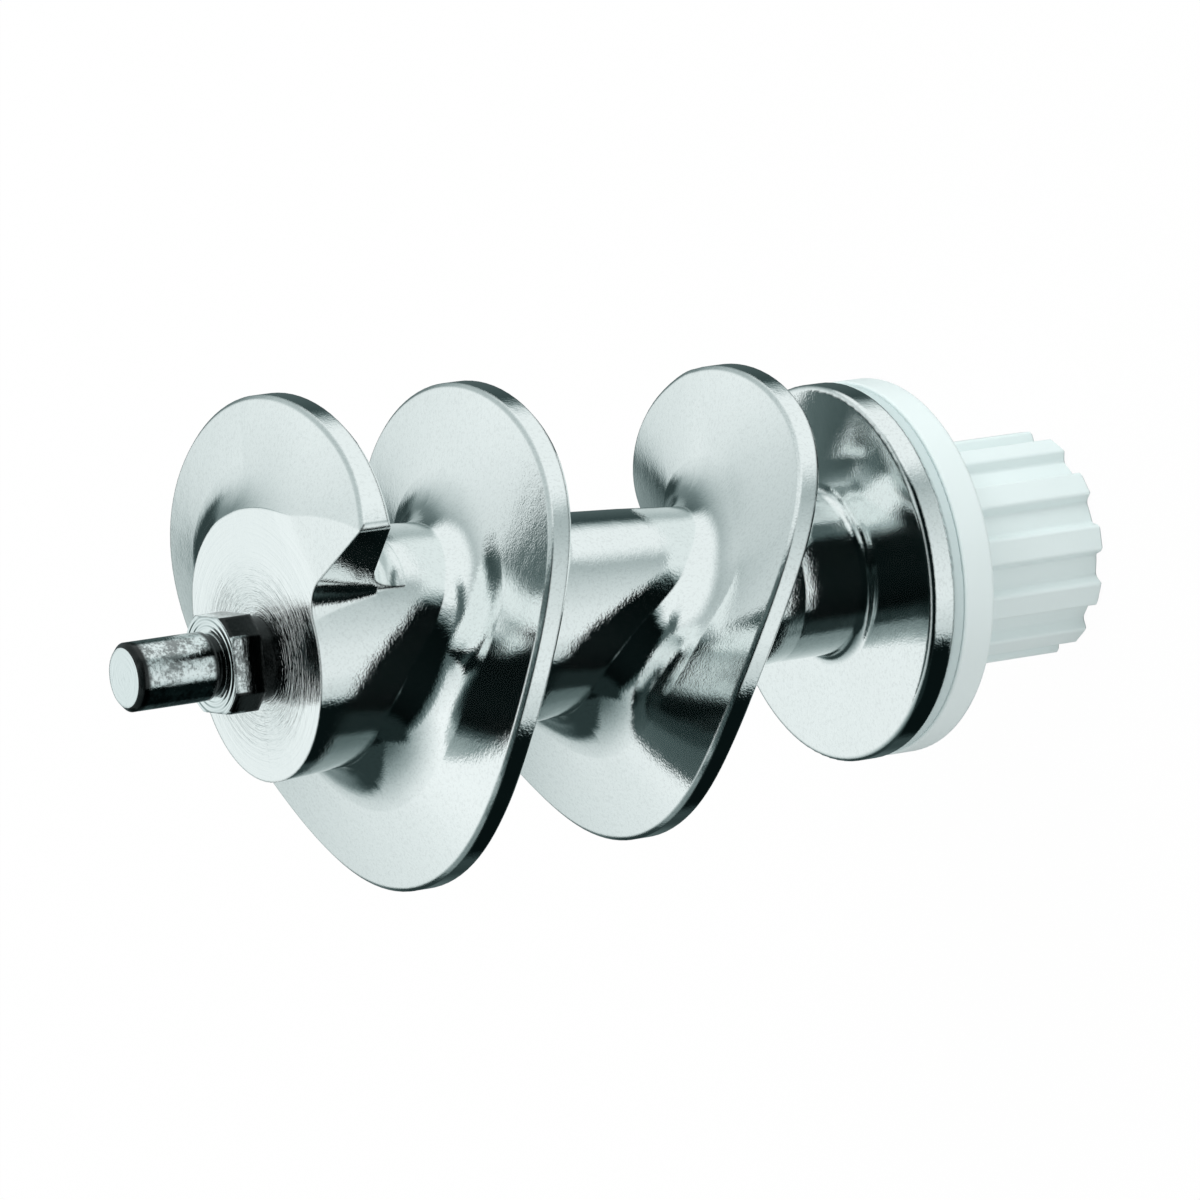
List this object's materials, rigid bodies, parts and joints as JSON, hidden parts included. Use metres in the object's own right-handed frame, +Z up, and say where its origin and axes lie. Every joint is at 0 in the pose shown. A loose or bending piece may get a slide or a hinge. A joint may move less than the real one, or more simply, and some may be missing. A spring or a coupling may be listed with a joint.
{
  "type": "mincer feed screw",
  "caption": "Cast metal feed screw with a left-hand helical flight on a tapered core, a knife spindle at the front and a white toothed drive coupling at the rear.",
  "frame": {"origin": "on the screw axis, at the flat end of the drive stub that it stands on", "axes": "+Z up along the screw axis to the knife spindle, +X towards the side that is uppermost in the picture, +Y towards its far side"},
  "size_m": [0.0592, 0.0587, 0.127],
  "materials": {
    "polished_casting": "polished die casting with a fine grain",
    "turned_steel": "turned, dark",
    "ring_plastic": "satin",
    "coupling_plastic": "satin",
    "screw_steel": "plated"
  },
  "bodies": {
    "root": {"screw_body": "polished_casting", "knife_spindle": "turned_steel", "sealing_ring": "ring_plastic", "drive_coupling": "coupling_plastic", "coupling_screw": "screw_steel"}
  },
  "joints": []
}
